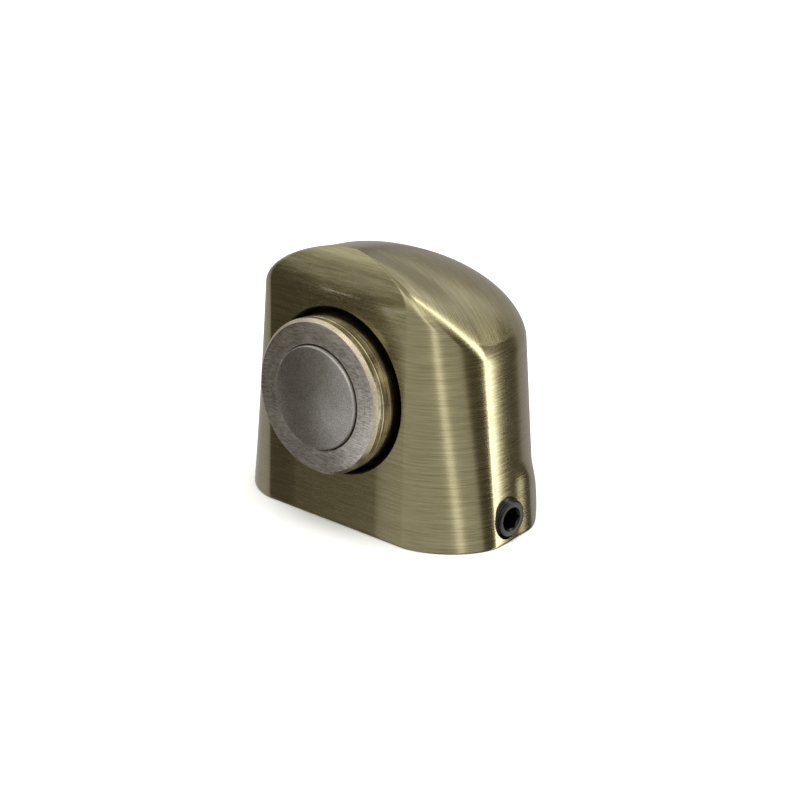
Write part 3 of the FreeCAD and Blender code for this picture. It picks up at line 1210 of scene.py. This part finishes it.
@dataclass
class MagnetHead:
    """Turned cup, disc magnet and the countersunk screw that holds the cup."""

    segments: int = 256
    cup_radius: float = 15.0
    cup_proud: float = 5.4
    cup_depth: float = 5.0
    cup_rim_bevel: float = 0.65
    cup_back_bevel: float = 0.5
    ring_behind_rim: float = 1.9
    ring_width: float = 0.25
    ring_depth: float = 0.12
    bore_radius: float = 10.2
    bore_bevel: float = 0.15
    magnet_radius: float = 10.0
    magnet_thickness: float = 5.0
    magnet_edge: float = 0.35
    magnet_proud: float = 0.7
    screw_head_radius: float = 4.6
    screw_head_land: float = 0.3
    screw_hole_radius: float = 2.65
    bore_mouth_rounding: float = 0.05
    bore_rounding: float = 0.04
    face_rounding: float = 0.08
    rim_rounding: float = 0.12
    ring_rounding: float = 0.04
    ring_root_rounding: float = 0.05
    cup_sharp_angle: float = 24.0
    magnet_sharp_angle: float = 40.0

    def build_cup(self, face: Material, side: Material, rim: Material) -> Piece:
        """Build the cup.

        Args:
            face: finish of the ground face.
            side: finish of the turned side.
            rim: finish of the bevel between them.

        Returns:
            The cup.
        """
        length = self.cup_proud + self.cup_depth
        recess = self.magnet_thickness - self.magnet_proud
        ring = self.ring_behind_rim
        half = 0.5 * self.ring_width
        land = recess + self.screw_head_land
        slope = self.screw_head_radius - self.screw_hole_radius
        bevel = self.cup_rim_bevel
        cup = magnet_lathe(self.cup_proud, self.segments).mesh("cup", [
            Corner(self.bore_radius + self.bore_bevel, 0.0, self.bore_mouth_rounding),
            Corner(self.cup_radius - bevel, 0.0, self.face_rounding),
            Corner(self.cup_radius, bevel, self.rim_rounding),
            Corner(self.cup_radius, ring - half, self.ring_rounding),
            Corner(self.cup_radius - self.ring_depth, ring, self.ring_root_rounding),
            Corner(self.cup_radius, ring + half, self.ring_rounding),
            Corner(self.cup_radius, length - self.cup_back_bevel),
            Corner(self.cup_radius - self.cup_back_bevel, length),
            Corner(self.screw_hole_radius, length),
            Corner(self.screw_hole_radius, land + slope),
            Corner(self.screw_head_radius, land),
            Corner(self.screw_head_radius, recess),
            Corner(self.bore_radius, recess),
            Corner(self.bore_radius, self.bore_bevel, self.bore_rounding),
        ])
        dress(cup, face, side, rim)
        bevel_end = MM * (bevel - BASE_CENTRE_BEHIND_FRONT - self.cup_proud)
        for polygon in cup.data.polygons:
            middle = polygon.center
            out = Vector((middle.x, middle.z - MM * MAGNET_AXIS_HEIGHT)).length
            if out > MM * (self.cup_radius - bevel):
                polygon.material_index = 1 if middle.y > bevel_end else 2
        smooth(cup, self.cup_sharp_angle)
        stand_for(cup, Node.CUP)
        return cup

    def build_magnet(self, plating: Material) -> Piece:
        """Build the disc magnet.

        Args:
            plating: its finish.

        Returns:
            The magnet.
        """
        start = -self.magnet_proud
        end = start + self.magnet_thickness
        magnet = magnet_lathe(self.cup_proud, self.segments).mesh("disc_magnet", [
            Corner(0.0, start), Corner(self.magnet_radius, start, self.magnet_edge),
            Corner(self.magnet_radius, end, self.magnet_edge), Corner(0.0, end),
        ])
        dress(magnet, plating)
        smooth(magnet, self.magnet_sharp_angle)
        stand_for(magnet, Node.MAGNET)
        return magnet

    def dress_screw(self, finish: Material) -> None:
        """Give the hidden countersunk screw, which stays as it is, its finish."""
        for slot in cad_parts[Node.CUP_SCREW.value].material_slots:
            slot.material = finish


# Set screw


@dataclass
class ThreadedRod(FormulaSurface):
    """Rod with a rolled thread, a cone point and a bevelled end.

    Every field but the grid's is an input of the Geometry Nodes tree.
    """

    radius: float = 4.0
    length: float = 16.0
    pitch: float = 1.25
    thread_depth: float = 0.62
    root_share: float = 0.12
    crest_share: float = 0.94
    end_bevel: float = 0.7
    point_radius: float = 1.0
    cap_share: float = 0.01
    columns: int = 97
    rows: int = 321

    def point(
        self, across: Field, up: Field, size: dict[str, Field]
    ) -> tuple[Field, Field, Field, None]:
        """Reckon a point of the surface.

        Args:
            across: from -0.5 to 0.5 round the rod.
            up: from -0.5 in the middle of the point to 0.5 in the middle of the end.
            size: inputs of the tree by name.

        Returns:
            The point's x, y and z in millimetres, and no share of a dome.
        """
        turns = across + 0.5
        up = up + 0.5
        end_share = 1.0 - size["cap_share"]
        along = up.share(size["cap_share"], end_share) * size["length"]
        cap = up.share(0.0, size["cap_share"]) * (1.0 - up.share(end_share, 1.0))
        wave = (along / size["pitch"] - turns).math("PINGPONG", 0.5) * 2.0
        crest = wave.share(size["root_share"], size["crest_share"])
        thread = size["radius"] - size["thread_depth"] * (1.0 - crest)
        point = size["point_radius"] + along
        end = size["radius"] - size["end_bevel"] + (size["length"] - along)
        out = thread.math("MINIMUM", point).math("MINIMUM", end) * cap
        angle = turns * (2.0 * math.pi)
        return out * angle.math("COSINE"), out * angle.math("SINE"), along, None


@dataclass
class SetScrew:
    """Set screw with a rolled thread, a cone point and a hexagon socket."""

    rod: ThreadedRod = field(default_factory=ThreadedRod)
    proud: float = 0.9
    socket_width: float = 4.0
    socket_depth: float = 4.0
    mouth_flare: float = 0.15
    margin: float = 1.0
    sharp_angle: float = 30.0

    def build(self, finish: Material) -> Piece:
        """Build the screw.

        Args:
            finish: its finish.

        Returns:
            The screw.
        """
        length = self.rod.length
        lathe = screw_lathe(SET_SCREW_REACH + self.proud - length)
        rod = self.rod.grow("rod", finish, lathe.matrix())
        corner = self.socket_width / math.sqrt(3.0)
        outer = length + self.margin
        socket = hexagon("socket", lathe, self.socket_width, length - self.socket_depth, outer)
        mouth = lathe.mesh("mouth", [
            Corner(0.0, length - corner), Corner(corner + self.margin + self.mouth_flare, outer),
            Corner(0.0, outer),
        ])
        screw = cut(rod, [dress(socket, finish), dress(mouth, finish)], "socket_set_screw")
        smooth(screw, self.sharp_angle)
        stand_for(screw, Node.SET_SCREW)
        return screw


# Floor base


@dataclass
class FloorBase:
    """Round base with a groove for the set screw and two countersunk holes."""

    radius: float = 16.0
    height: float = 7.5
    edge: float = 0.5
    groove_radius: float = 14.605
    groove_half: float = 1.0
    hole_radius: float = 2.5
    head_radius: float = 5.0
    hole_spacing: float = 18.0
    margin: float = 1.0
    foot_rounding: float = 0.3
    groove_rounding: tuple[float, float] = (0.08, 0.05)
    edge_rounding: float = 0.1
    top_rounding: float = 0.2
    sharp_angle: float = 24.0

    def build(self, finish: Material) -> Piece:
        """Build the base.

        Args:
            finish: its finish.

        Returns:
            The base.
        """
        flare = self.groove_half + self.radius - self.groove_radius
        base = Lathe(Vector(), Z_AXIS).mesh("base", [
            Corner(0.0, 0.0), Corner(self.radius, 0.0, self.foot_rounding),
            Corner(self.radius, SET_SCREW_HEIGHT - flare, self.groove_rounding[0]),
            Corner(self.groove_radius, SET_SCREW_HEIGHT - self.groove_half),
            Corner(self.groove_radius, SET_SCREW_HEIGHT + self.groove_half),
            Corner(self.radius, SET_SCREW_HEIGHT + flare, self.groove_rounding[1]),
            Corner(self.radius, self.height - self.edge, self.edge_rounding),
            Corner(self.radius - self.edge, self.height, self.top_rounding),
            Corner(0.0, self.height),
        ])
        dress(base, finish)
        holes = []
        sink = self.height - self.head_radius + self.hole_radius
        outer = self.height + self.margin
        for side in (-0.5, 0.5):
            hole = Lathe(X_AXIS * side * self.hole_spacing, Z_AXIS, 72).mesh("hole", [
                Corner(0.0, -self.margin), Corner(self.hole_radius, -self.margin),
                Corner(self.hole_radius, sink), Corner(self.head_radius, self.height),
                Corner(self.head_radius, outer), Corner(0.0, outer),
            ])
            holes.append(dress(hole, finish))
        base = cut(base, holes, "turned_floor_base")
        smooth(base, self.sharp_angle)
        stand_for(base, Node.BASE)
        return base


# Studio


class Panel(NamedTuple):
    """Soft panel of light round the object, by its direction from it in degrees.

    The bearing is 0 towards the front (-Y) and 90 towards the set screw (+X). The
    edges are the widths over which the light fades at its sides and at its ends.
    """

    bearing: float
    half_width: float
    edge: float
    low: float
    high: float
    strength: float
    height_edge: float = 12.0


@dataclass
class Studio:
    """Floor, panels of soft light, background and camera.

    Args:
        camera_place: place of the camera in millimetres.
        azimuth: bearing of the camera in degrees.
        elevation: height of the camera over the horizon in degrees.
        roll: turn of the camera about its line of sight in degrees.
        focal_pixels: focal length in pixels.
        picture_pixels: width of the picture in pixels.
        shift: shift of the picture as shares of its width.
        ambient: light from all directions.
        shade_tint: colour of the weak light, warm as in a room.
        white_from: strength from which the light is white.
        floor_radius: radius of the floor in metres.
        floor_drop: how far it lies under the undersides, so that no faces share a plane.
        lamp_place: place of the lamp over the floor in metres.
        lamp_size: its diameter in metres.
        lamp_energy: its power in watts.
        panels: panels of light: the key and the narrow strip that draw the two bright
            lines on the walls, the soft ones beside them, the thin one and the patch
            that show in the buffed corner, and the wide ones over and round the object.
    """

    camera_place: Vector = field(default_factory=lambda: Vector((215.638, -253.376, 138.848)))
    azimuth: float = 41.0313
    elevation: float = 20.7942
    roll: float = 1.3478
    focal_pixels: float = 1800.0
    picture_pixels: float = 800.0
    shift: tuple[float, float] = (0.0242, 0.0462)
    ambient: float = 0.09
    shade_tint: tuple[float, float, float, float] = (1.0, 0.88, 0.72, 1.0)
    white_from: float = 0.6
    floor_radius: float = 6.0
    floor_drop: float = 0.00003
    lamp_place: tuple[float, float, float] = (0.25, -0.2, 1.5)
    lamp_size: float = 1.6
    lamp_energy: float = 26.0
    panels: tuple[Panel, ...] = (
        Panel(136.0, 4.0, 6.0, -40.0, 60.0, 4.2),
        Panel(61.0, 1.6, 6.0, -40.0, 50.0, 1.1),
        Panel(37.0, 55.0, 6.0, -60.0, 60.0, 0.48),
        Panel(-41.0, 1.1, 0.5, 4.5, 5.5, 4.0, 0.6),
        Panel(-24.0, 2.5, 1.5, 0.0, 4.0, 1.4, 1.5),
        Panel(-60.0, 60.0, 20.0, 18.0, 60.0, 0.4, 4.0),
        Panel(-31.0, 10.3, 0.8, -90.0, -27.0, 0.42, 2.0),
        Panel(-31.0, 8.0, 2.0, -27.0, -16.0, 0.42, 2.0),
        Panel(-108.0, 30.0, 6.0, -50.0, 14.0, 0.3),
        Panel(-165.0, 18.0, 10.0, -30.0, 60.0, 0.26),
        Panel(110.0, 60.0, 20.0, 24.0, 60.0, 0.4),
        Panel(20.0, 180.0, 1.0, 40.0, 90.0, 0.4),
    )

    def build_camera(self) -> None:
        """Set up the camera at the photograph's angle."""
        side, up, turn = (math.radians(a) for a in (self.azimuth, self.elevation, self.roll))
        right = Vector((math.cos(side), math.sin(side), 0.0))
        level = Vector((-math.sin(side), math.cos(side), 0.0))
        ahead = level * math.cos(up) - Z_AXIS * math.sin(up)
        above = right.cross(ahead)
        rolled_right = right * math.cos(turn) + above * math.sin(turn)
        rolled_up = above * math.cos(turn) - right * math.sin(turn)
        data = bpy.data.cameras.new("camera")
        data.lens = data.sensor_width * self.focal_pixels / self.picture_pixels
        data.shift_x, data.shift_y = self.shift
        data.clip_start = 0.01
        camera = bpy.data.objects.new("camera", data)
        axes = Matrix((rolled_right, rolled_up, -ahead)).transposed().to_4x4()
        camera.matrix_world = Matrix.Translation(self.camera_place * MM) @ axes
        bpy.context.scene.collection.objects.link(camera)
        bpy.context.scene.camera = camera

    def build_floor(self) -> None:
        """Lay the plain pale floor, which the metal doesn't mirror."""
        form = bmesh.new()
        bmesh.ops.create_circle(form, cap_ends=True, segments=96, radius=self.floor_radius)
        floor = finish_object(form, "floor", Matrix.Translation(Z_AXIS * -self.floor_drop))
        paint = Finish("pale_floor", "F4F4F2", "F4F4F2")
        made, tree, _ = paint.start()
        paint.close(tree, {
            "Base Color": linear(paint.light), "Roughness": 0.9, "Specular IOR Level": 0.1})
        dress(floor, made)
        floor.visible_glossy = False

    def build_world(self) -> None:
        """Make the light round the object from soft panels, in front of a pale background."""
        world = bpy.data.worlds.new("studio")
        world.use_nodes = True
        tree = world.node_tree
        tree.nodes.clear()
        way = add_node(tree, "ShaderNodeTexCoord")
        parts = add_node(tree, "ShaderNodeSeparateXYZ", None, {0: way.outputs["Generated"]})
        x, y, z = fields(parts)
        bearing = x.math("ARCTAN2", y * -1.0) * DEGREES
        height = z.math("ARCSINE") * DEGREES
        light = height * 0.0 + self.ambient
        for panel in self.panels:
            off = (bearing - panel.bearing).math("WRAP", 180.0, -180.0).math("ABSOLUTE")
            beside = off.between(-1.0, panel.half_width, panel.edge)
            within = height.between(panel.low, panel.high, panel.height_edge)
            light = light + beside * within * panel.strength
        tint = add_node(tree, "ShaderNodeMix", {"data_type": "RGBA"}, {
            "Factor": light.share(self.ambient, self.white_from),
            6: self.shade_tint, 7: linear("FFFFFF")})
        lit = add_node(tree, "ShaderNodeBackground", None,
                       {"Color": tint.outputs[2], "Strength": light})
        plain = add_node(tree, "ShaderNodeBackground", None,
                         {"Color": linear("F7F7F6"), "Strength": 1.0})
        seen = add_node(tree, "ShaderNodeLightPath")
        mix = add_node(tree, "ShaderNodeMixShader", None,
                       {0: seen.outputs["Is Camera Ray"], 1: lit.outputs[0], 2: plain.outputs[0]})
        add_node(tree, "ShaderNodeOutputWorld", None, {"Surface": mix.outputs[0]})
        bpy.context.scene.world = world

    def build_floor_light(self) -> None:
        """Hang a large soft lamp over the floor, which the metal doesn't mirror."""
        data = bpy.data.lights.new("overhead", "AREA")
        data.shape = "DISK"
        data.size = self.lamp_size
        data.energy = self.lamp_energy
        lamp = bpy.data.objects.new("overhead", data)
        lamp.matrix_world = Matrix.Translation(self.lamp_place)
        lamp.visible_glossy = False
        bpy.context.scene.collection.objects.link(lamp)

    def build(self) -> None:
        """Set up the whole studio."""
        self.build_camera()
        self.build_floor()
        self.build_world()
        self.build_floor_light()
        bpy.context.scene.view_settings.view_transform = "Standard"


def main() -> None:
    """Build every piece in order and report it."""
    logging.basicConfig(level=logging.INFO, format="%(name)s: %(message)s")
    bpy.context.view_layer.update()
    Studio().build()
    # Thin uneven plating in the hollow, which stays a dull dark grey.
    inside = CastSkin("die_cast_inside", "4A463B", "2A2822")
    # Painted shade: the pocket and the tapped hole behind it get a near-black, matt, nearly
    # glossless finish that stands for the shadow in them, so the pocket reads as a black gap.
    shade = CastSkin("painted_shade_pocket", "2E2A21", "1A1712", metallic=0.0, roughness=0.9,
                     specular=0.08)
    # Bare ground steel, bright, with cross scratches over its rings.
    face = TurnedSteel("ground_steel_face", "FFFBF2", "A8A39A", ring_width=0.1, scratch=0.6,
                       roughness=0.33, anisotropy=0.3, sectors=0.6, swell=0.01)
    # Brass toned by hand after turning, with brown streaks along its rings.
    side = TurnedSteel("turned_plated_side", "EADFC0", "463D2C", ring_width=0.16, scratch=0.15,
                       roughness=0.2, anisotropy=0.5, sectors=0.8)
    # The bevel was rubbed bright.
    rim = GrainedMetal("bright_bevel", "F2E6CC", "B9A98A", grain=0.16, roughness=0.24, height=0.006)
    # Dull nickel over sintered magnet, with a sandy grain.
    nickel = GrainedMetal("nickel_plated_magnet", "E6E2DC", "878480", grain=0.12, roughness=0.32,
                          swell=0.017)
    # Bright zinc, faintly clouded.
    zinc = GrainedMetal("zinc_plated_steel", "B9BBB8", "8E908D", grain=0.3, roughness=0.35)
    # Oiled black oxide, nearly black with a soft gloss.
    black = GrainedMetal("black_oxide_steel", "3A3835", "161514", grain=0.1, roughness=0.26,
                         height=0.01, metallic=0.9)
    plated = zinc.material()
    head = MagnetHead()
    pieces = [
        StopBody().build(BrushedBrass().material(), inside.material(), shade.material()),
        head.build_cup(face.material(), side.material(), rim.material()),
        head.build_magnet(nickel.material()),
        SetScrew().build(black.material()),
        FloorBase().build(plated),
    ]
    head.dress_screw(plated)
    LOG.info("%s: kept from the model", Node.CUP_SCREW.value)
    for piece in pieces:
        LOG.info("%s: %d faces", piece.name, len(piece.data.polygons))


if __name__ == "__main__":
    main()
